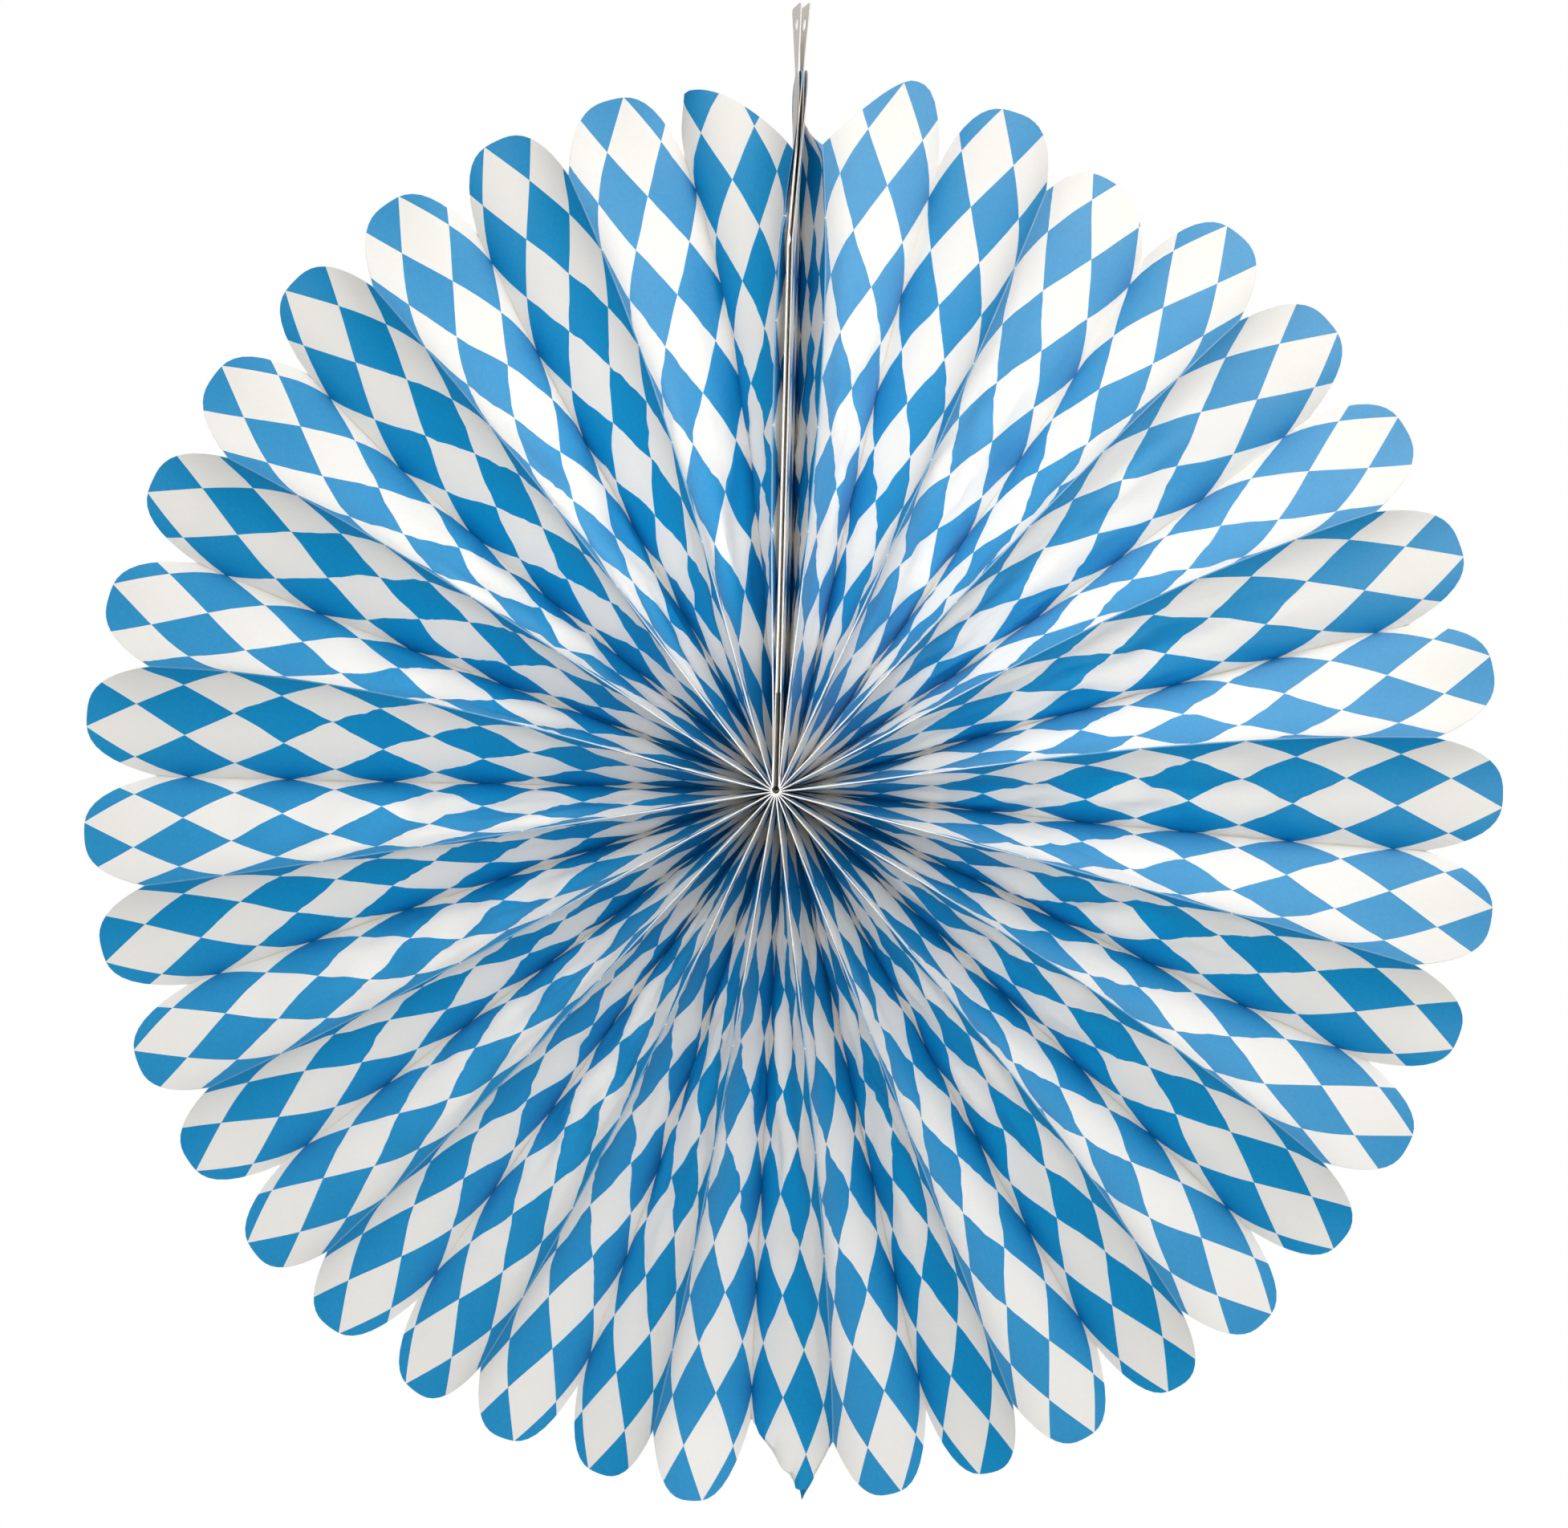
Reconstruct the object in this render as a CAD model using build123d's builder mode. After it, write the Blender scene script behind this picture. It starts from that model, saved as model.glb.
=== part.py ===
"""Paper fan medallion: one pleated sheet opened to a full round and closed at a seam by two card strips.

Millimetres. +Z is up, the printed front faces -Y, and the origin is the hanging hole in the strips' tab.
"""
import os
from math import cos, hypot, pi, radians, sin

from build123d import *

# Round outline, as radii from the fan's axis
tip_radius = 300.0
notch_radius = 270.0
petal_shoulder = 0.2

# Pleated sheet: paper from fold to fold, and the share of it that shows at the notches
pleat_width = 60.0
paper_thickness = 0.25
rim_opening = 0.744
bow_exponent = 1.6
gather_slack = 2.2

# How the folds are spread round the axis, in degrees
seam_left_angle = 0.4
seam_right_angle = 2.2
bottom_crowding = 6.4
side_lean = 0.25
side_spread = 1.2

# Card strips at the seam, and the tab they form above the petals
card_thickness = 0.5
card_margin = 1.0
card_inner_radius = 40.0
card_shoulder_drop = 12.0
tab_width = 14.0
tab_corner_radius = 2.0
hole_above_petals = 20.0
tab_above_hole = 8.0
hang_hole_diameter = 5.0

# Stretches of radius in which a panel is flat
panel_stretches = 8
trim_margin = 3.0

# Worked out from the sizes above
open_panels = 2 * round(pi * notch_radius / (pleat_width * rim_opening))
inner_radius = gather_slack * (open_panels + 4) * paper_thickness / (2 * pi)
outer_limit = tip_radius + trim_margin
hang_radius = tip_radius + hole_above_petals
axis_centre = Vector(0, 0, -hang_radius)
fin_offset = card_thickness + paper_thickness / 2
first_ridge_offset = fin_offset + 2 * paper_thickness
growth = (outer_limit / inner_radius) ** (1 / panel_stretches)
stations = [inner_radius * growth**index for index in range(panel_stretches + 1)]


def fold_shift(evenly):
    """How far a fold stands from its place in an even round, in radians."""
    crowding = bottom_crowding * sin(evenly) - side_spread * sin(2 * evenly)
    lean = side_lean * (2 - cos(evenly) - cos(2 * evenly))
    return radians(crowding - lean)


def make_folds():
    """Every fold from the seam round to the seam: its angle, its offset from the axis, and -1 front or 1 back."""
    first = radians(seam_left_angle)
    last = 2 * pi - radians(seam_right_angle)
    found = [(0.0, fin_offset, 1)]
    for index in range(open_panels + 1):
        share = index / open_panels
        angle = first + (last - first) * share + fold_shift(2 * pi * share)
        side = -1 if index % 2 == 0 else 1
        found.append((angle, first_ridge_offset * (1 - angle / pi), side))
    found.append((2 * pi, -fin_offset, 1))
    return found


def fold_plane(angle, offset):
    """Plane that a fold lies in: local x runs out from the axis, and local y to the back of the fan."""
    outward = Vector(-sin(angle), 0, cos(angle))
    around = Vector(-cos(angle), 0, -sin(angle))
    return Plane(origin=axis_centre + around * offset, x_dir=outward, z_dir=around)


def pleat_depth(chord):
    """Depth from front fold to back fold where the two are a chord apart, less what the panel's bow takes."""
    opened = min(chord / pleat_width, 1.0)
    return pleat_width * (1 - opened**bow_exponent) ** (1 / bow_exponent)


def fold_sections(fold, pitch):
    """Front and back skin of the paper along a fold, on both sides of its blunt edge."""
    angle, offset, side = fold
    sections = []
    for shift in (-paper_thickness / 2, paper_thickness / 2):
        plane = fold_plane(angle, offset + shift)
        crest = []
        crease = []
        for radius in stations:
            chord = 2 * radius * sin(pitch / 2)
            depth = pleat_depth(chord)
            slope = depth / chord
            proud = paper_thickness / 2 * (hypot(1, slope) - slope)
            mitre = paper_thickness / 2 * (hypot(1, slope) + slope)
            filled = depth + paper_thickness
            mitre = mitre / (1 + (mitre / filled) ** 4) ** 0.25
            crest.append(plane.from_local_coords((radius, side * (depth / 2 + proud))))
            crease.append(plane.from_local_coords((radius, side * (depth / 2 - mitre))))
        sections.append((crest, crease) if side < 0 else (crease, crest))
    return sections


def flat_facet(*corners):
    """Flat facet between corner points."""
    return Face(Wire.make_polygon(corners))


def skin_facets(earlier, later):
    """Facets of one skin between two sections: two flat triangles to each stretch of radius."""
    facets = []
    for near in range(panel_stretches):
        far = near + 1
        facets.append(flat_facet(earlier[near], earlier[far], later[far]))
        facets.append(flat_facet(earlier[near], later[far], later[near]))
    return facets


def sheet_facets(sections):
    """Every facet of the closed sheet: both skins, the inner and outer edges and the two ends."""
    facets = []
    for (front_a, back_a), (front_b, back_b) in zip(sections, sections[1:]):
        facets += skin_facets(front_a, front_b)
        facets += skin_facets(back_a, back_b)
        for end in (0, -1):
            facets.append(flat_facet(front_a[end], front_b[end], back_b[end], back_a[end]))
    for front, back in (sections[0], sections[-1]):
        facets.append(flat_facet(*front, *reversed(back)))
    return facets


def outline_point(angle, offset, radius):
    """Point of the front outline, in the upright plane that faces the viewer."""
    across = -radius * sin(angle) - offset * cos(angle)
    upward = radius * cos(angle) - offset * sin(angle) - hang_radius
    return Vector(across, upward)


folds = make_folds()
panels = list(zip(folds, folds[1:]))
panel_angles = [later[0] - earlier[0] for earlier, later in panels]
fold_pitches = [(a + b) / 2 for a, b in zip([0.0] + panel_angles, panel_angles + [0.0])]
sheet_sections = []
for fold, pitch in zip(folds, fold_pitches):
    sheet_sections += fold_sections(fold, pitch)

os.makedirs("parts", exist_ok=True)

# Pleated sheet: both skins of the paper carried from fold to fold round the axis
with BuildPart() as pleated_fan:
    add(Solid(Shell(sheet_facets(sheet_sections))))

    # Petal ends, trimmed along the direction of view
    with BuildSketch(Plane.XZ):
        with BuildLine():
            for (angle_a, offset_a, _), (angle_b, offset_b, _) in panels:
                start = outline_point(angle_a, offset_a, notch_radius)
                end = outline_point(angle_b, offset_b, notch_radius)
                tip = outline_point((angle_a + angle_b) / 2, (offset_a + offset_b) / 2, tip_radius)
                rise = (tip - (start + end) / 2) * 4 / 3
                inset = (end - start) * petal_shoulder
                Bezier(start, start + inset + rise, end - inset + rise, end)
            Line(
                outline_point(2 * pi, -fin_offset, notch_radius),
                outline_point(0, fin_offset, notch_radius),
            )
        make_face()
    extrude(amount=pleat_width, both=True, mode=Mode.INTERSECT)

    # End panels of the sheet, flat against the card strips
    for turn in (-1, 1):
        half = pleat_width / 2
        base = inner_radius - hang_radius
        notch = notch_radius - hang_radius
        shoulder = half - pleat_width * petal_shoulder
        crown = notch + (tip_radius - notch_radius) * 4 / 3
        with BuildSketch(Plane.YZ.offset(turn * card_thickness)):
            with BuildLine():
                Polyline((-half, notch), (-half, base), (half, base), (half, notch))
                Bezier((half, notch), (shoulder, crown), (-shoulder, crown), (-half, notch))
            make_face()
        extrude(amount=turn * paper_thickness)

pleated_fan.part.label = "pleated_fan"
export_step(pleated_fan.part, "parts/pleated_fan.step")

# Card strips: one on each side of the seam, with the hanging tab at their top
for name, turn in (("tab_card_left", -1), ("tab_card_right", 1)):
    half = pleat_width / 2 - card_margin
    base = card_inner_radius - hang_radius
    shoulder = notch_radius - card_shoulder_drop - hang_radius
    neck = tip_radius - hang_radius
    with BuildPart() as card:
        with BuildSketch(Plane.YZ):
            with BuildLine():
                Polyline(
                    (-half, base),
                    (half, base),
                    (half, shoulder),
                    (tab_width / 2, neck),
                    (tab_width / 2, tab_above_hole),
                    (-tab_width / 2, tab_above_hole),
                    (-tab_width / 2, neck),
                    (-half, shoulder),
                    close=True,
                )
            outline = make_face()
            fillet(outline.vertices().sort_by(Axis.Y)[-2:], tab_corner_radius)
            Circle(hang_hole_diameter / 2, mode=Mode.SUBTRACT)
        extrude(amount=turn * card_thickness)
    card.part.label = name
    export_step(card.part, f"parts/{name}.step")
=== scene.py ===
"""Paper fan medallion: one printed, pleated sheet opened to a full round, with a card tab at its seam.

Metres. +Z is up, the printed front faces -Y, and the origin is the hanging hole in the tab.
"""
from math import cos, pi, radians, sin
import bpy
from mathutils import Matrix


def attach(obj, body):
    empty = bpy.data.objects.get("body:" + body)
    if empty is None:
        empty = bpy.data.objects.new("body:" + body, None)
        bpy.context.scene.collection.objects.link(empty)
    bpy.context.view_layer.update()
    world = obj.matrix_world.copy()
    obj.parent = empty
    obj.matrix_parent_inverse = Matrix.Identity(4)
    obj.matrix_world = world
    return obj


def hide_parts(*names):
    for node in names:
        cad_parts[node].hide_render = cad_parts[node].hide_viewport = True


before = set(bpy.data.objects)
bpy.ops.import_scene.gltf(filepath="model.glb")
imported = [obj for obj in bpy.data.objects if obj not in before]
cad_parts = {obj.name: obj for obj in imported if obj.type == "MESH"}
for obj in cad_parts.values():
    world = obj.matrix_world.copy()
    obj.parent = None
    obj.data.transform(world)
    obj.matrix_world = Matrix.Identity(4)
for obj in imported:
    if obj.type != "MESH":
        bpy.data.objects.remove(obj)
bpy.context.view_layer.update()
from types import SimpleNamespace

import bpy
import numpy as np
from mathutils import Matrix, Vector, noise

MM = 0.001

# Round outline, as radii from the fan's axis
tip_radius = 300 * MM
notch_radius = 270 * MM
inner_radius = 1.4 * MM
hang_radius = 320 * MM
axis_centre = Vector((0, 0, -hang_radius))

# Pleated sheet. Its folds and panels are counted anticlockwise from the seam, end panels included
open_panels = 38
pleat_width = 60 * MM
paper_thickness = 0.25 * MM
paper_translucency = 0.25

# Section of a panel: how it bows between its folds, and how the paper is rounded over at a front fold
bow_exponent = 1.6
widest_opening = 0.97
ridge_reach = 1.15
valley_reach = 2.2
edge_slack = 0.45
ridge_blunting = 0.2 * MM
blunted_slope = 0.3

# Dents in the panels: their depth, how they set in beside the folds and gather half way out,
# and how many there are to a lozenge of the print
wrinkle_depth = 4 * MM
wrinkle_onset = 0.7
wrinkle_gathering = 1.5
wrinkles_across = 1.3
wrinkles_inward = 1.7
wrinkle_octaves = 3

# Petal ends: how full they are, and by panel those that were cut unevenly. Falls say how far one side,
# the peak and the other side lie below the tips, as shares of the way to the notches
petal_fullness = 2.8
uneven_petals = {
    2: SimpleNamespace(falls=(1.25, 0.1, 1), peak=0.9, fullness=(1.8, 2.4)),
    37: SimpleNamespace(falls=(1.1, 0.36, 1), peak=0.55, fullness=(2.1, 3.0)),
    39: SimpleNamespace(falls=(1, -0.05, 1.15), peak=0.34, fullness=(3.0, 1.4)),
    40: SimpleNamespace(falls=(1.15, 0, 1), peak=0.5, fullness=(2.8, 2.8)),
}
bent_petals = (20, 21)
pointed_petal = 21

# How the folds are spread round the axis, in degrees
seam_left_angle = 0.1
seam_right_angle = 2.2
bottom_crowding = 6.4
side_lean = 0.25
side_spread = 1.2

# How far the folds of the open panels bow sideways, in millimetres: front folds and back folds
ridge_bows = (4, -6, -2.5, -3.5, -8, 1, 2.5, 3, 4.5, 3, 3.5, 0.5, 5, 5.5, 1, 5.5, 6.5, 2.5, -2, -6.5)
valley_bows = (-10, 3, 6.5, 2, 0.5, -1.5, -0.5, -1, 2, -1, -0.5, -1.5, 0.5, -1.5, -2, 1, -2.5, -4, 3.5)
bow_peak = 0.6
bow_growth = 1.5
lean_by_bow = 1.3

# Lozenges of the print: short and long diagonal
lozenges_in_panel = 2.5
lozenge_width = pleat_width / lozenges_in_panel
lozenge_length = 43 * MM

# Painted highlight along the folds, standing in for the light their rounded edges catch: its width, and how
# much shows beyond the outer and within the inner radius
fold_highlight_width = 0.6 * MM
highlight_outer_radius = 120 * MM
highlight_inner_radius = 60 * MM
least_highlight = 0.15
most_highlight = 0.85

# Fibre clumps in the print, on the sheet's back and in the card, drawn coarser than real so that they show
print_fibre = 1.3 * MM
back_fibre = 1.5 * MM
card_fibre = 1.0 * MM

# Fineness of the sheet's mesh: columns in a panel, and rows from the centre to the petals and across them
panel_columns = 24
inner_rows = 32
petal_rows = 12
petal_row_start = 0.8 * notch_radius
inner_row_crowding = 1.15
rows_bent_below_petals = 4

# Card strips
card_thickness = 0.5 * MM
card_margin = 1 * MM
card_inner_radius = 40 * MM
card_shoulder_drop = 12 * MM
card_columns = 12
card_rows = 90
card_row_crowding = 1.5
tab_width = 14 * MM
tab_corner_radius = 2 * MM
tab_above_hole = 8 * MM
hang_hole_radius = 2.5 * MM
fin_offset = card_thickness + paper_thickness / 2

# How the seam and the tab above it have come open, and how they turn to the right further out, in degrees
seam_splay = 0.6 * MM
tab_spread = 1.3 * MM
tab_bend_start = -54 * MM
tab_bend_growth = 1.5
seam_turns = (0, 5.5, 9, 19)
seam_turn_radii = (225 * MM, 268 * MM, 300 * MM, 328 * MM)


def linear(hex_colour):
    """Linear RGBA of an sRGB hex colour."""
    parts = [int(hex_colour[i:i + 2], 16) / 255 for i in (1, 3, 5)]
    return [c / 12.92 if c <= 0.04045 else ((c + 0.055) / 1.055) ** 2.4 for c in parts] + [1.0]


def add_node(tree, kind, settings=None, **inputs):
    """Adds a node. Inputs are values, or sockets to link, by name or by number, as in in_0."""
    node = tree.nodes.new(kind)
    for name, value in (settings or {}).items():
        setattr(node, name, value)
    for name, value in inputs.items():
        key = int(name[3:]) if name.startswith("in_") else name.replace("_", " ")
        if isinstance(value, bpy.types.NodeSocket):
            tree.links.new(value, node.inputs[key])
        else:
            node.inputs[key].default_value = value
    return node


def new_material(name):
    """Empty node material and its tree."""
    material = bpy.data.materials.new(name)
    material.use_nodes = True
    material.node_tree.nodes.clear()
    return material, material.node_tree


def thin_paper(tree, colour, **surface):
    """Gives a material the surface of paper that lets some of the light through."""
    front = add_node(tree, "ShaderNodeBsdfPrincipled", Base_Color=colour, **surface)
    through = add_node(tree, "ShaderNodeBsdfTranslucent", Color=colour)
    both = add_node(
        tree, "ShaderNodeMixShader", in_0=paper_translucency, in_1=front.outputs[0], in_2=through.outputs[0]
    )
    add_node(tree, "ShaderNodeOutputMaterial", Surface=both.outputs[0])


def printed_paper():
    """Offset-printed, coated paper: an even ink film that shows the fibres and takes a soft sheen."""
    material, tree = new_material("printed coated paper")
    sheet = add_node(tree, "ShaderNodeUVMap", {"uv_map": "sheet"}).outputs["UV"]
    split = add_node(tree, "ShaderNodeSeparateXYZ", Vector=sheet)
    across = split.outputs["X"]
    inward = split.outputs["Y"]

    # Lozenges: squares on the two diagonal directions of the sheet, which is measured in lozenges
    rising = add_node(tree, "ShaderNodeMath", {"operation": "ADD"}, in_0=across, in_1=inward)
    falling = add_node(tree, "ShaderNodeMath", {"operation": "SUBTRACT"}, in_0=across, in_1=inward)
    lozenges = add_node(tree, "ShaderNodeCombineXYZ", X=rising.outputs[0], Y=falling.outputs[0], Z=0.5)
    fibres = add_node(
        tree,
        "ShaderNodeTexNoise",
        Vector=add_node(tree, "ShaderNodeTexCoord").outputs["Object"],
        Scale=1 / print_fibre,
        Detail=3.0,
        Roughness=0.65,
    )
    blue = add_node(
        tree,
        "ShaderNodeMix",
        {"data_type": "RGBA"},
        in_0=fibres.outputs["Fac"],
        in_6=linear("#008bc9"),
        in_7=linear("#00a2de"),
    )
    white = add_node(
        tree,
        "ShaderNodeMix",
        {"data_type": "RGBA"},
        in_0=fibres.outputs["Fac"],
        in_6=linear("#f3f3f1"),
        in_7=linear("#fafaf9"),
    )
    checker = add_node(
        tree,
        "ShaderNodeTexChecker",
        Vector=lozenges.outputs[0],
        Color1=white.outputs[2],
        Color2=blue.outputs[2],
        Scale=1.0,
    )

    # Painted highlight: a thin cream line along each fold, front and back folds alike, standing in for the
    # light caught at the folds, strongest near the centre
    panels = add_node(tree, "ShaderNodeMath", {"operation": "DIVIDE"}, in_0=across, in_1=lozenges_in_panel)
    from_fold = add_node(tree, "ShaderNodeMath", {"operation": "PINGPONG"}, in_0=panels.outputs[0], in_1=0.5)
    on_fold_line = add_node(
        tree,
        "ShaderNodeMapRange",
        Value=from_fold.outputs[0],
        From_Min=0.35 * fold_highlight_width / pleat_width,
        From_Max=0.65 * fold_highlight_width / pleat_width,
        To_Min=1.0,
        To_Max=0.0,
    )
    near_centre = add_node(
        tree,
        "ShaderNodeMapRange",
        Value=inward,
        From_Min=(tip_radius - highlight_outer_radius) / lozenge_length,
        From_Max=(tip_radius - highlight_inner_radius) / lozenge_length,
        To_Min=least_highlight,
        To_Max=most_highlight,
    )
    painted_highlight = add_node(
        tree, "ShaderNodeMath", {"operation": "MULTIPLY"}, in_0=on_fold_line.outputs[0], in_1=near_centre.outputs[0]
    )
    # The print, with the cream of the painted highlight mixed over it along the folds
    printed = add_node(
        tree,
        "ShaderNodeMix",
        {"data_type": "RGBA"},
        in_0=painted_highlight.outputs[0],
        in_6=checker.outputs["Color"],
        in_7=linear("#efe9df"),
    )
    bump = add_node(tree, "ShaderNodeBump", Strength=0.12, Distance=0.15 * MM, Height=fibres.outputs["Fac"])
    thin_paper(tree, printed.outputs[2], Roughness=0.85, IOR=1.4, Normal=bump.outputs["Normal"])
    return material


def plain_paper():
    """Uncoated back of the printed sheet: matt white paper, a little cloudy with fibre."""
    material, tree = new_material("plain paper back")
    fibres = add_node(
        tree,
        "ShaderNodeTexNoise",
        Vector=add_node(tree, "ShaderNodeTexCoord").outputs["Object"],
        Scale=1 / back_fibre,
        Detail=3.0,
    )
    colour = add_node(
        tree,
        "ShaderNodeMix",
        {"data_type": "RGBA"},
        in_0=fibres.outputs["Fac"],
        in_6=linear("#e9e6e1"),
        in_7=linear("#f2f0ec"),
    )
    thin_paper(tree, colour.outputs[2], Roughness=0.8, IOR=1.45)
    return material


def white_card():
    """Grey-white board: pressed fibres with a dull surface."""
    material, tree = new_material("white card")
    fibres = add_node(
        tree,
        "ShaderNodeTexNoise",
        Vector=add_node(tree, "ShaderNodeTexCoord").outputs["Object"],
        Scale=1 / card_fibre,
        Detail=4.0,
    )
    colour = add_node(
        tree,
        "ShaderNodeMix",
        {"data_type": "RGBA"},
        in_0=fibres.outputs["Fac"],
        in_6=linear("#dedcd8"),
        in_7=linear("#ebe9e6"),
    )
    card = add_node(
        tree, "ShaderNodeBsdfPrincipled", Base_Color=colour.outputs[2], Roughness=0.75, IOR=1.45
    )
    add_node(tree, "ShaderNodeOutputMaterial", Surface=card.outputs[0])
    return material


def fold_shift(evenly):
    """How far folds stand from their places in an even round, in radians."""
    crowding = bottom_crowding * np.sin(evenly) - side_spread * np.sin(2 * evenly)
    lean = side_lean * (2 - np.cos(evenly) - np.cos(2 * evenly))
    return np.radians(crowding - lean)


def make_folds():
    """Angle, offset from the axis, sideways bow, side (-1 front, 1 back) and pitch of every fold."""
    share = np.linspace(0, 1, open_panels + 1)
    first = radians(seam_left_angle)
    last = 2 * pi - radians(seam_right_angle)
    opened = first + (last - first) * share + fold_shift(2 * pi * share)
    bows = np.zeros(open_panels + 1)
    bows[0::2] = ridge_bows
    bows[1::2] = valley_bows
    end_offsets = np.array([fin_offset + seam_splay, fin_offset])
    first_ridge = fin_offset + 2 * paper_thickness

    folds = SimpleNamespace()
    folds.angles = np.concatenate([[0, 0], opened, [2 * pi, 2 * pi]])
    folds.offsets = np.concatenate([end_offsets, first_ridge * (1 - opened / pi), -end_offsets[::-1]])
    folds.bows = np.concatenate([[0, 0], bows * MM, [0, 0]])
    folds.sides = np.where(np.arange(len(folds.angles)) % 2 == 0, -1, 1)
    steps = np.diff(folds.angles)
    folds.pitches = (np.concatenate([[0], steps]) + np.concatenate([steps, [0]])) / 2
    return folds


def pleat_depth(chord):
    """Depth from front fold to back fold where they are a chord apart, less what the panel's bow takes."""
    opened = np.minimum(chord / pleat_width, 1.0)
    return pleat_width * (1 - opened**bow_exponent) ** (1 / bow_exponent)


def panel_profile(opening, across, start_lean, end_lean, ridge_first):
    """Shares of the way from fold to fold, sideways and in depth, of points across a bowed panel.

    The panel stands steep beside its folds and lies flatter in its middle, more so the wider it is opened.
    A fold that leans makes the panel on its one side flatter and the panel on its other side steeper.
    Right at a front fold the paper is rounded over.
    The slope of the middle is found by halving, so that the panel just spans its opening.
    """
    fine = 8
    halvings = 24
    steepest_middle = 0.6 * pi
    steps = np.interp(np.arange((len(across) - 1) * fine + 1) / fine, np.arange(len(across)), across)
    widths = np.diff(steps)
    near_start = np.clip(1 - 2 * steps, 0, 1) ** (ridge_reach if ridge_first else valley_reach)
    near_end = np.clip(2 * steps - 1, 0, 1) ** (valley_reach if ridge_first else ridge_reach)
    at_ridge = slice(None, fine) if ridge_first else slice(-fine, None)

    def slopes(middle):
        edge = pi / 2 * (1 - edge_slack * np.clip(1 - middle * 2 / pi, 0, 1) ** 4)
        slope = middle[:, None] + (edge + start_lean - middle)[:, None] * near_start
        slope += (edge - end_lean - middle)[:, None] * near_end
        slope[:, at_ridge] *= blunted_slope
        return slope

    def summed(run):
        pieces = (run[:, 1:] + run[:, :-1]) / 2 * widths
        return np.concatenate([np.zeros((len(run), 1)), np.cumsum(pieces, axis=1)], axis=1)

    low = np.zeros(len(opening))
    high = np.full(len(opening), steepest_middle)
    for _ in range(halvings):
        middle = (low + high) / 2
        narrow = summed(np.cos(slopes(middle)))[:, -1] < opening
        high = np.where(narrow, middle, high)
        low = np.where(narrow, low, middle)
    slope = slopes((low + high) / 2)
    sideways = summed(np.cos(slope))
    inward = summed(np.sin(slope))
    return (sideways / opening[:, None])[:, ::fine], (inward / inward[:, -1:])[:, ::fine]


def fold_bow(index, radius, folds):
    """Sideways bow of one fold at the radii given: none at the axis or at the rim."""
    out = np.clip(radius / notch_radius, 0, 1)
    highest = bow_peak**bow_growth * (1 - bow_peak)
    return folds.bows[index] * out**bow_growth * (1 - out) / highest


def seam_turn(inward, radius):
    """How far the turn of the seam takes its pieces to the right, at a depth and a radius from the axis."""
    return -inward * np.tan(np.radians(np.interp(radius, seam_turn_radii, seam_turns)))


def fold_points(index, radius, folds):
    """Points along one fold, at the radii given. The folds at the seam turn with it."""
    angle = folds.angles[index]
    depth = pleat_depth(2 * radius * np.sin(folds.pitches[index] / 2))
    offset = folds.offsets[index] + fold_bow(index, radius, folds)
    across = -radius * np.sin(angle) - offset * np.cos(angle)
    upward = radius * np.cos(angle) - offset * np.sin(angle) - hang_radius
    inward = folds.sides[index] * depth / 2
    if index < 3 or index > len(folds.angles) - 3:
        across = across + seam_turn(inward, radius)
    return np.stack([across, inward, upward], axis=-1)


def fold_lean(index, radius, folds):
    """Angle by which one fold leans sideways, at the radii given."""
    points = fold_points(index, radius, folds)
    return np.arctan2(lean_by_bow * fold_bow(index, radius, folds), np.abs(points[:, 1]))


def petal_fall(panel, share):
    """How far a petal's end has fallen from its tip, as a share, at shares of the way across the petal."""
    if panel not in uneven_petals:
        return np.abs(2 * share - 1) ** petal_fullness
    petal = uneven_petals[panel]
    before = np.clip((petal.peak - share) / petal.peak, 0, 1) ** petal.fullness[0]
    after = np.clip((share - petal.peak) / (1 - petal.peak), 0, 1) ** petal.fullness[1]
    first, highest, last = petal.falls
    return highest + (first - highest) * before + (last - highest) * after


def fold_panel(panel, crowded, folds):
    """Points of one folded panel, and the radius that each has on the sheet, by row and column."""
    inner_share = np.linspace(0, 1, inner_rows + 1) ** inner_row_crowding
    petal_share = np.linspace(0, 1, petal_rows + 1)[1:]
    inner = inner_radius + (petal_row_start - inner_radius) * inner_share
    nominal = np.concatenate([inner, petal_row_start + (tip_radius - petal_row_start) * petal_share])

    gap = fold_points(panel + 1, nominal, folds) - fold_points(panel, nominal, folds)
    opening = np.clip(np.hypot(gap[:, 0], gap[:, 2]) / pleat_width, 1e-4, widest_opening)
    sideways, inward = panel_profile(
        opening,
        crowded,
        fold_lean(panel, nominal, folds),
        fold_lean(panel + 1, nominal, folds),
        folds.sides[panel] < 0,
    )
    end_panel = folds.angles[panel] == folds.angles[panel + 1]
    edge_share = crowded if end_panel else sideways[-1]
    edge = tip_radius - (tip_radius - notch_radius) * petal_fall(panel, edge_share)
    radius = np.repeat(nominal[:, None], panel_columns + 1, axis=1)
    radius[inner_rows + 1:] = petal_row_start + (edge - petal_row_start) * petal_share[:, None]
    start = fold_points(panel, radius, folds)
    end = fold_points(panel + 1, radius, folds)
    points = start + (end - start) * sideways[..., None]
    points[..., 1] = start[..., 1] + (end - start)[..., 1] * inward
    return points, radius


def add_wrinkles(places, sheet_across, sheet_inward, crowded):
    """Dents the panels sideways between their folds, most of all half way out. The end panels stay flat."""
    for column in range(panel_columns, len(sheet_across) - panel_columns):
        clear_of_folds = sin(pi * crowded[column % panel_columns]) ** wrinkle_onset
        for row in range(sheet_inward.shape[1]):
            place = Vector(places[column, row])
            outward = (place - axis_centre) * Vector((1, 0, 1))
            reach = min(outward.length / notch_radius, 1)
            amount = wrinkle_depth * clear_of_folds * (4 * reach * (1 - reach)) ** wrinkle_gathering
            spot_across = wrinkles_across * sheet_across[column]
            spot_inward = wrinkles_inward * sheet_inward[column, row]
            spot = Vector((spot_across, spot_inward, 0.3))
            dent = amount * (noise.turbulence(spot, wrinkle_octaves, True) - 0.5)
            around = Vector((-outward.z, 0, outward.x)).normalized()
            places[column, row] = place + (around + Vector((0, 1, 0))) * dent


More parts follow.
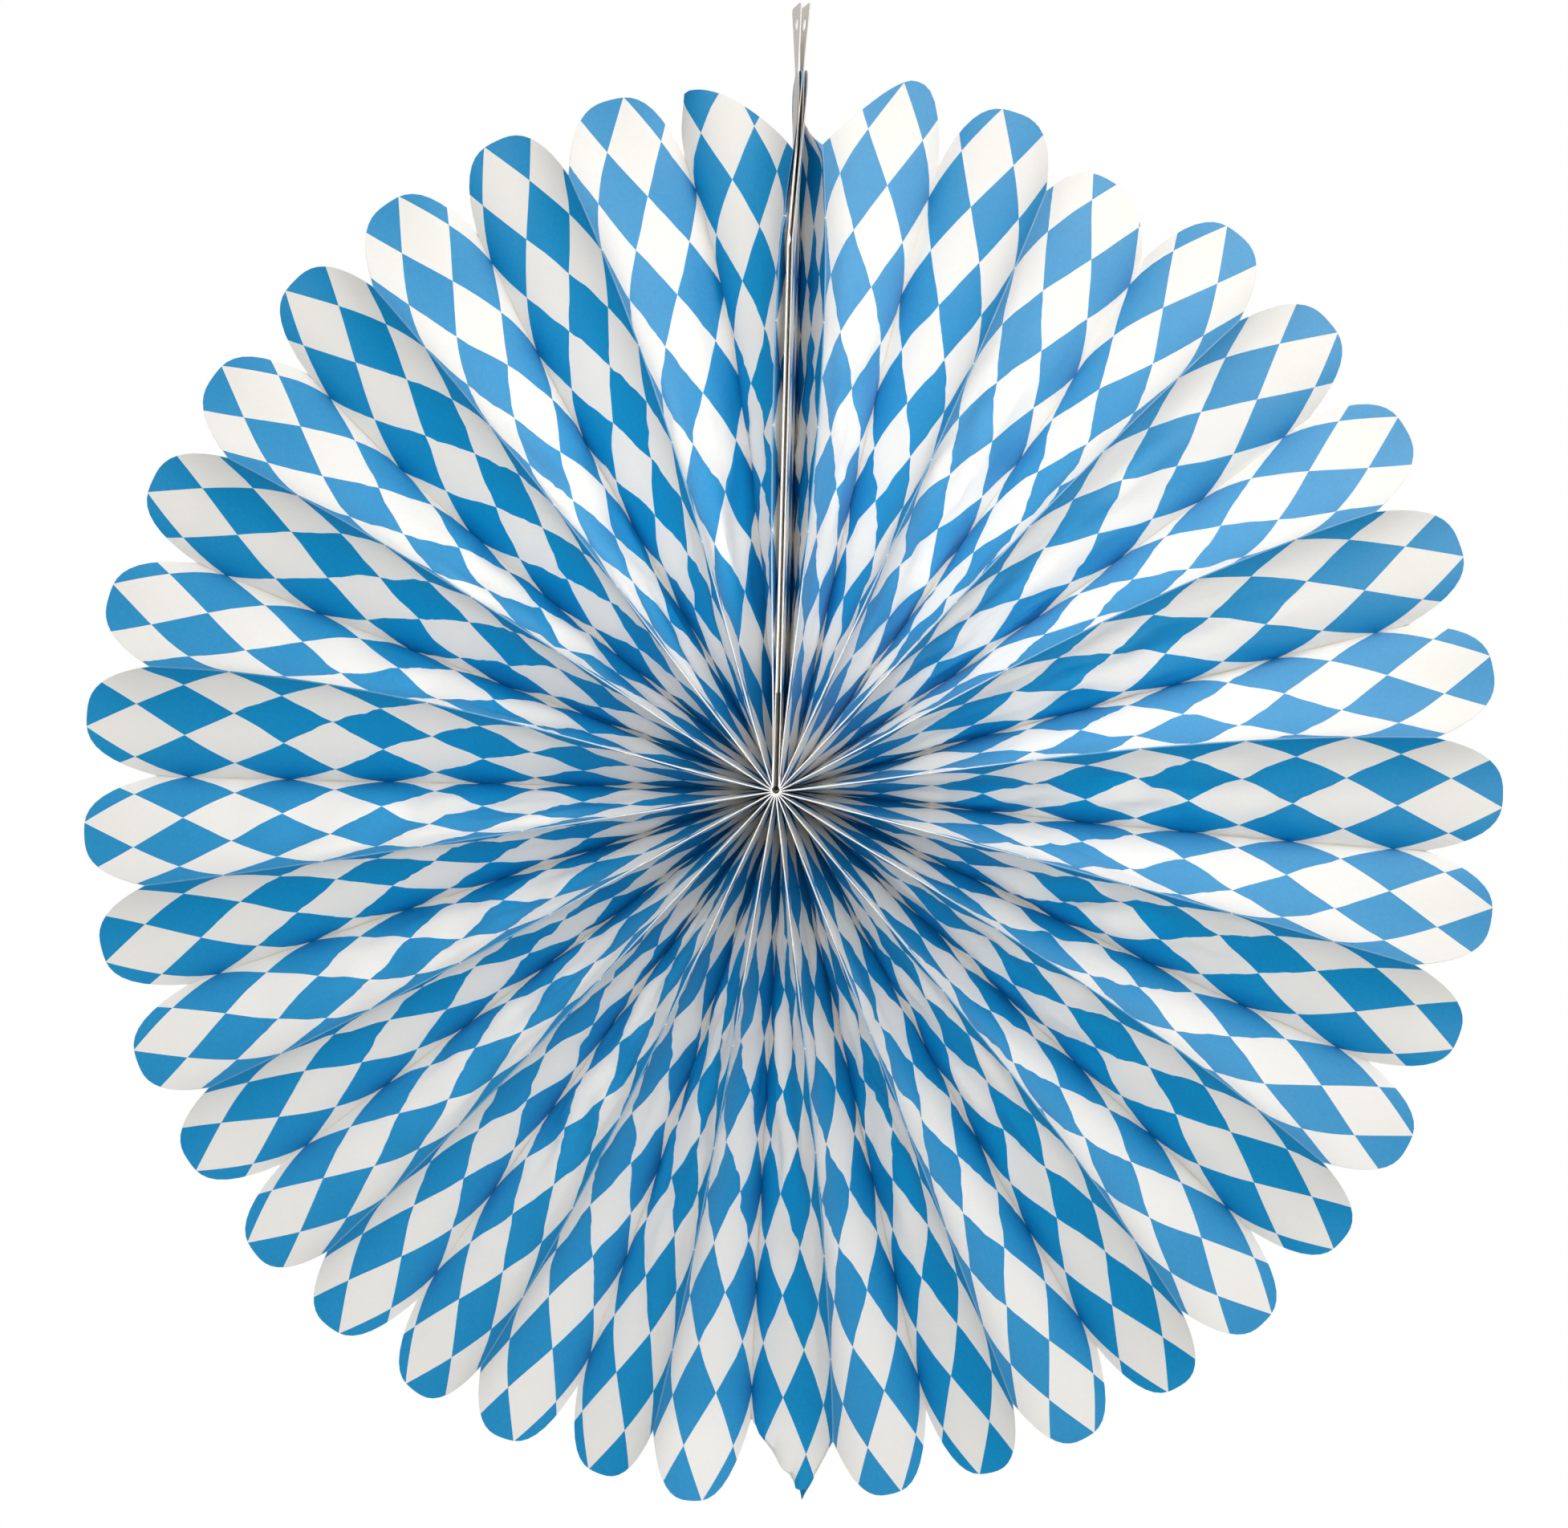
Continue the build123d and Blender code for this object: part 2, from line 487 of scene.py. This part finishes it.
def petal_points(places, panel):
    """Points of one petal and of the rows just below it, without those on the folds."""
    first = panel * panel_columns
    return places[first + 1:first + panel_columns, inner_rows - rows_bent_below_petals:]


def roll_back(points, start, end, inside, curl_radius):
    """Rolls the paper that lies beyond a line backward, round a roll of the radius given."""
    fullest_turn = 0.6 * pi
    along = (end - start) / np.linalg.norm(end - start)
    beyond = np.array([-along[1], along[0]])
    if np.dot(inside - start, beyond) > 0:
        beyond = -beyond
    flat = points[..., [0, 2]]
    distance = np.maximum((flat - start) @ beyond, 0)
    turned = np.minimum(distance / curl_radius, fullest_turn)
    rest = distance - curl_radius * turned
    drawn_in = distance - curl_radius * np.sin(turned) - rest * np.cos(turned)
    points[..., [0, 2]] = flat - drawn_in[..., None] * beyond
    points[..., 1] += curl_radius * (1 - np.cos(turned)) + rest * np.sin(turned)


def bend_petals(places, folds):
    """Two petals at the bottom: the sides of one are rolled back to a point, and both are bent forward."""
    point_share = 0.62
    point_radius = 0.975 * tip_radius
    roll_start_radius = 0.985 * notch_radius
    roll_radius = 0.006 * tip_radius
    bend_radius = 0.975 * notch_radius
    bend_slope = 0.35

    def pointed_place(share, radius):
        first, last = folds.angles[pointed_petal:pointed_petal + 2]
        angle = first + (last - first) * share
        return np.array([-radius * sin(angle), radius * cos(angle) - hang_radius])

    middle = pointed_place(0.5, 0.9 * notch_radius)
    tip = pointed_place(point_share, point_radius)
    for side in (0, 1):
        start = pointed_place(side, roll_start_radius)
        roll_back(petal_points(places, pointed_petal), start, tip, middle, roll_radius)
    for panel in bent_petals:
        points = petal_points(places, panel)
        below = np.maximum(axis_centre.z - bend_radius - points[..., 2], 0)
        points[..., 1] -= bend_slope * below


def press_petal(places):
    """The petal to the right of the seam, whose end is pressed against the card."""
    press_start = 0.965 * notch_radius
    press_length = 0.06 * tip_radius
    last_panel = len(places) // panel_columns - 1
    points = petal_points(places, last_panel - 1)
    height = points[..., 2] + hang_radius
    share = np.clip((height - press_start) / press_length, 0, 1)
    against_card = 2 * card_thickness + seam_splay + seam_turn(points[..., 1], height)
    points[..., 0] += (against_card - points[..., 0]) * share * share * (3 - 2 * share)


def clear_end_panels(places):
    """Keeps the panels beside the seam from passing through the end panels, which lie against the card."""
    last_panel = len(places) // panel_columns - 1
    for turn, panel in ((-1, 1), (1, last_panel - 1)):
        points = places[panel * panel_columns + 1:(panel + 1) * panel_columns]
        inward = points[..., 1]
        opened = (pleat_width / 2 - inward) / pleat_width
        aside = fin_offset + seam_splay * opened + 1.5 * paper_thickness
        turned = seam_turn(inward, points[..., 2] + hang_radius)
        points[..., 0] = turn * np.maximum(turn * (points[..., 0] - turned), aside) + turned


def fold_sheet():
    """Points of the folded sheet by column and row, and their places on the flat sheet in lozenges."""
    folds = make_folds()
    panels = len(folds.angles) - 1
    columns = panels * panel_columns
    blunted = ridge_blunting / pleat_width
    between = np.linspace(5 * blunted, 1 - 5 * blunted, panel_columns - 3)
    crowded = np.concatenate([[0, blunted], between, [1 - blunted, 1]])

    places = np.empty((columns + 1, inner_rows + petal_rows + 1, 3))
    sheet_radius = np.empty(places.shape[:2])
    for panel in range(panels):
        points, radius = fold_panel(panel, crowded, folds)
        first = panel * panel_columns
        places[first:first + panel_columns + 1] = points.transpose(1, 0, 2)
        sheet_radius[first:first + panel_columns + 1] = radius.T
    number = np.arange(columns + 1)
    along = number // panel_columns + crowded[number % panel_columns]
    sheet_across = (along - 1) * pleat_width / lozenge_width
    sheet_inward = (tip_radius - sheet_radius) / lozenge_length

    add_wrinkles(places, sheet_across, sheet_inward, crowded)
    bend_petals(places, folds)
    press_petal(places)
    clear_end_panels(places)
    return places, sheet_across, sheet_inward


def printed_fan():
    """The pleated sheet, folded from a flat grid and given the thickness of the paper."""
    places, sheet_across, sheet_inward = fold_sheet()
    columns = places.shape[0] - 1
    rows = places.shape[1] - 1
    bpy.ops.object.select_all(action="DESELECT")
    bpy.ops.mesh.primitive_grid_add(x_subdivisions=columns, y_subdivisions=rows, size=2)
    fan = bpy.context.object
    fan.name = "printed_fan"
    mesh = fan.data
    flat = np.empty(len(mesh.vertices) * 3)
    mesh.vertices.foreach_get("co", flat)
    flat = flat.reshape(-1, 3)
    column = np.rint((1 - flat[:, 0]) / 2 * columns).astype(int)
    row = np.rint((1 + flat[:, 1]) / 2 * rows).astype(int)
    mesh.vertices.foreach_set("co", places[column, row].ravel())

    corner = np.empty(len(mesh.loops), dtype=int)
    mesh.loops.foreach_get("vertex_index", corner)
    uv = np.stack([sheet_across[column[corner]], sheet_inward[column[corner], row[corner]]], axis=-1)
    layer = mesh.uv_layers[0]
    layer.name = "sheet"
    layer.data.foreach_set("uv", uv.ravel())
    mesh.update()

    # Printed front and plain back
    mesh.materials.append(printed_paper())
    mesh.materials.append(plain_paper())
    thicken = fan.modifiers.new("paper", "SOLIDIFY")
    thicken.thickness = paper_thickness
    thicken.offset = 0
    thicken.material_offset = 1
    thicken.material_offset_rim = 1
    bpy.ops.object.modifier_apply(modifier="paper")
    bpy.ops.object.shade_smooth_by_angle(angle=radians(40))
    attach(fan, "root")
    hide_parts("pleated_fan")


def card_half_width(height):
    """Half the width of the card strip at a height: wide between the pleats, narrow in the tab."""
    wide = pleat_width / 2 - card_margin
    shoulder = notch_radius - card_shoulder_drop - hang_radius
    neck = tip_radius - hang_radius
    half = np.interp(height, [shoulder, neck], [wide, tab_width / 2])
    into_corner = np.clip(height - (tab_above_hole - tab_corner_radius), 0, tab_corner_radius)
    return half - (tab_corner_radius - np.sqrt(tab_corner_radius**2 - into_corner**2))


def card_strip(name, node, turn, material):
    """Card strip on one side of the seam, whose tab has spread from its twin and turned a little."""
    bpy.ops.object.select_all(action="DESELECT")
    bpy.ops.mesh.primitive_grid_add(x_subdivisions=card_columns, y_subdivisions=card_rows, size=2)
    card = bpy.context.object
    card.name = name
    bottom = card_inner_radius - hang_radius
    for vertex in card.data.vertices:
        share = (1 + vertex.co.y) / 2
        height = bottom + (tab_above_hole - bottom) * (1 - (1 - share) ** card_row_crowding)
        depth = vertex.co.x * card_half_width(height)
        vertex.co = (0, depth, height)
    card.data.materials.append(material)
    thicken = card.modifiers.new("card", "SOLIDIFY")
    thicken.thickness = card_thickness
    thicken.offset = 0
    bpy.ops.object.modifier_apply(modifier="card")

    # Hanging hole
    bpy.ops.mesh.primitive_cylinder_add(
        vertices=32, radius=hang_hole_radius, depth=20 * card_thickness, rotation=(0, pi / 2, 0)
    )
    drill = bpy.context.object
    bpy.context.view_layer.objects.active = card
    hole = card.modifiers.new("hole", "BOOLEAN")
    hole.object = drill
    bpy.ops.object.modifier_apply(modifier="hole")
    bpy.data.objects.remove(drill)

    # Spread and turn
    for vertex in card.data.vertices:
        opened = (pleat_width / 2 - vertex.co.y) / pleat_width
        rise = max((vertex.co.z - tab_bend_start) / (tab_above_hole - tab_bend_start), 0)
        aside = turn * (card_thickness / 2 + seam_splay * opened + tab_spread * rise**tab_bend_growth)
        vertex.co.x += aside + seam_turn(vertex.co.y, vertex.co.z + hang_radius)
    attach(card, "root")
    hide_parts(node)


def pale_floor():
    """Plain floor, well below the hanging fan."""
    floor_radius = 1.2
    floor_height = -1.0
    bpy.ops.object.select_all(action="DESELECT")
    bpy.ops.mesh.primitive_circle_add(
        vertices=96, radius=floor_radius, fill_type="NGON", location=(0, 0, floor_height)
    )
    floor = bpy.context.object
    floor.name = "floor"
    material, tree = new_material("pale matt floor")
    surface = add_node(tree, "ShaderNodeBsdfPrincipled", Base_Color=linear("#efefee"), Roughness=0.9)
    add_node(tree, "ShaderNodeOutputMaterial", Surface=surface.outputs[0])
    floor.data.materials.append(material)


def white_surroundings():
    """White backdrop, seen in gloss only behind the fan, and a dimmer light that is stronger from above."""
    level_light = 0.5
    added_from_above = 0.3
    world = bpy.data.worlds.new("white studio")
    bpy.context.scene.world = world
    world.use_nodes = True
    tree = world.node_tree
    tree.nodes.clear()
    path = add_node(tree, "ShaderNodeLightPath").outputs
    away = add_node(tree, "ShaderNodeTexCoord").outputs["Generated"]
    direction = add_node(tree, "ShaderNodeSeparateXYZ", Vector=away).outputs
    behind = add_node(tree, "ShaderNodeMath", {"operation": "GREATER_THAN"}, in_0=direction["Y"], in_1=0.0)
    mirrored = add_node(
        tree,
        "ShaderNodeMath",
        {"operation": "MAXIMUM"},
        in_0=path["Is Glossy Ray"],
        in_1=path["Is Transmission Ray"],
    )
    reflected = add_node(tree, "ShaderNodeBackground", Color=linear("#ffffff"), Strength=behind.outputs[0])
    brightness = add_node(
        tree,
        "ShaderNodeMath",
        {"operation": "MULTIPLY_ADD"},
        in_0=direction["Z"],
        in_1=added_from_above,
        in_2=level_light,
    )
    ambient = add_node(tree, "ShaderNodeBackground", Color=linear("#fffefc"), Strength=brightness.outputs[0])
    backdrop = add_node(tree, "ShaderNodeBackground", Color=linear("#ffffff"), Strength=1.0)
    lighting = add_node(
        tree,
        "ShaderNodeMixShader",
        in_0=mirrored.outputs[0],
        in_1=ambient.outputs[0],
        in_2=reflected.outputs[0],
    )
    shown = add_node(
        tree,
        "ShaderNodeMixShader",
        in_0=path["Is Camera Ray"],
        in_1=lighting.outputs[0],
        in_2=backdrop.outputs[0],
    )
    add_node(tree, "ShaderNodeOutputWorld", Surface=shown.outputs[0])


def soft_lamps():
    """Soft lamps that face the fan's middle: name, place, size, power and the rays each is hidden from."""
    for name, place, size, power, hidden_from in (
        ("key", (0.6, -1.15, 0.9), 0.8, 8.8, "visible_glossy"),
        ("sheen", (0.28, -0.33, 0.06), 0.3, 27.0, "visible_diffuse"),
        ("front", (0.01, -0.27, -0.275), 0.15, 0.68, "visible_glossy"),
        ("back", (-0.5, 1.2, 0.4), 0.9, 7.0, "visible_glossy"),
    ):
        lamp = bpy.data.lights.new(name, "AREA")
        lamp.size = size
        lamp.energy = power
        lamp.color = linear("#fffaf3")[:3]
        holder = bpy.data.objects.new(name, lamp)
        bpy.context.collection.objects.link(holder)
        holder.location = place
        holder.visible_camera = False
        setattr(holder, hidden_from, False)
        aim = axis_centre - Vector(place)
        holder.rotation_euler = aim.to_track_quat("-Z", "Y").to_euler()


def photo_camera():
    """Camera at the photograph's viewing angle."""
    distance = 1.25
    azimuth = radians(4)
    elevation = radians(0.5)
    roll = radians(1.5)
    photo_width = 657.5 * MM
    target = axis_centre + Vector((1 * MM, 0, 10.6 * MM))
    back = Vector((sin(azimuth) * cos(elevation), -cos(azimuth) * cos(elevation), sin(elevation)))
    camera = bpy.data.cameras.new("photo camera")
    camera.sensor_width = 36
    camera.lens = camera.sensor_width * distance / photo_width
    camera.clip_start = 0.05
    camera.clip_end = 50
    holder = bpy.data.objects.new("photo camera", camera)
    bpy.context.collection.objects.link(holder)
    holder.location = target + back * distance
    turn = (-back).to_track_quat("-Z", "Y").to_matrix() @ Matrix.Rotation(roll, 3, "Z")
    holder.rotation_euler = turn.to_euler()
    bpy.context.scene.camera = holder


printed_fan()
card_finish = white_card()
card_strip("left_card_strip", "tab_card_left", -1, card_finish)
card_strip("right_card_strip", "tab_card_right", 1, card_finish)
pale_floor()
white_surroundings()
soft_lamps()
photo_camera()
bpy.context.scene.view_settings.view_transform = "Standard"
bpy.context.scene.cycles.diffuse_bounces = 10
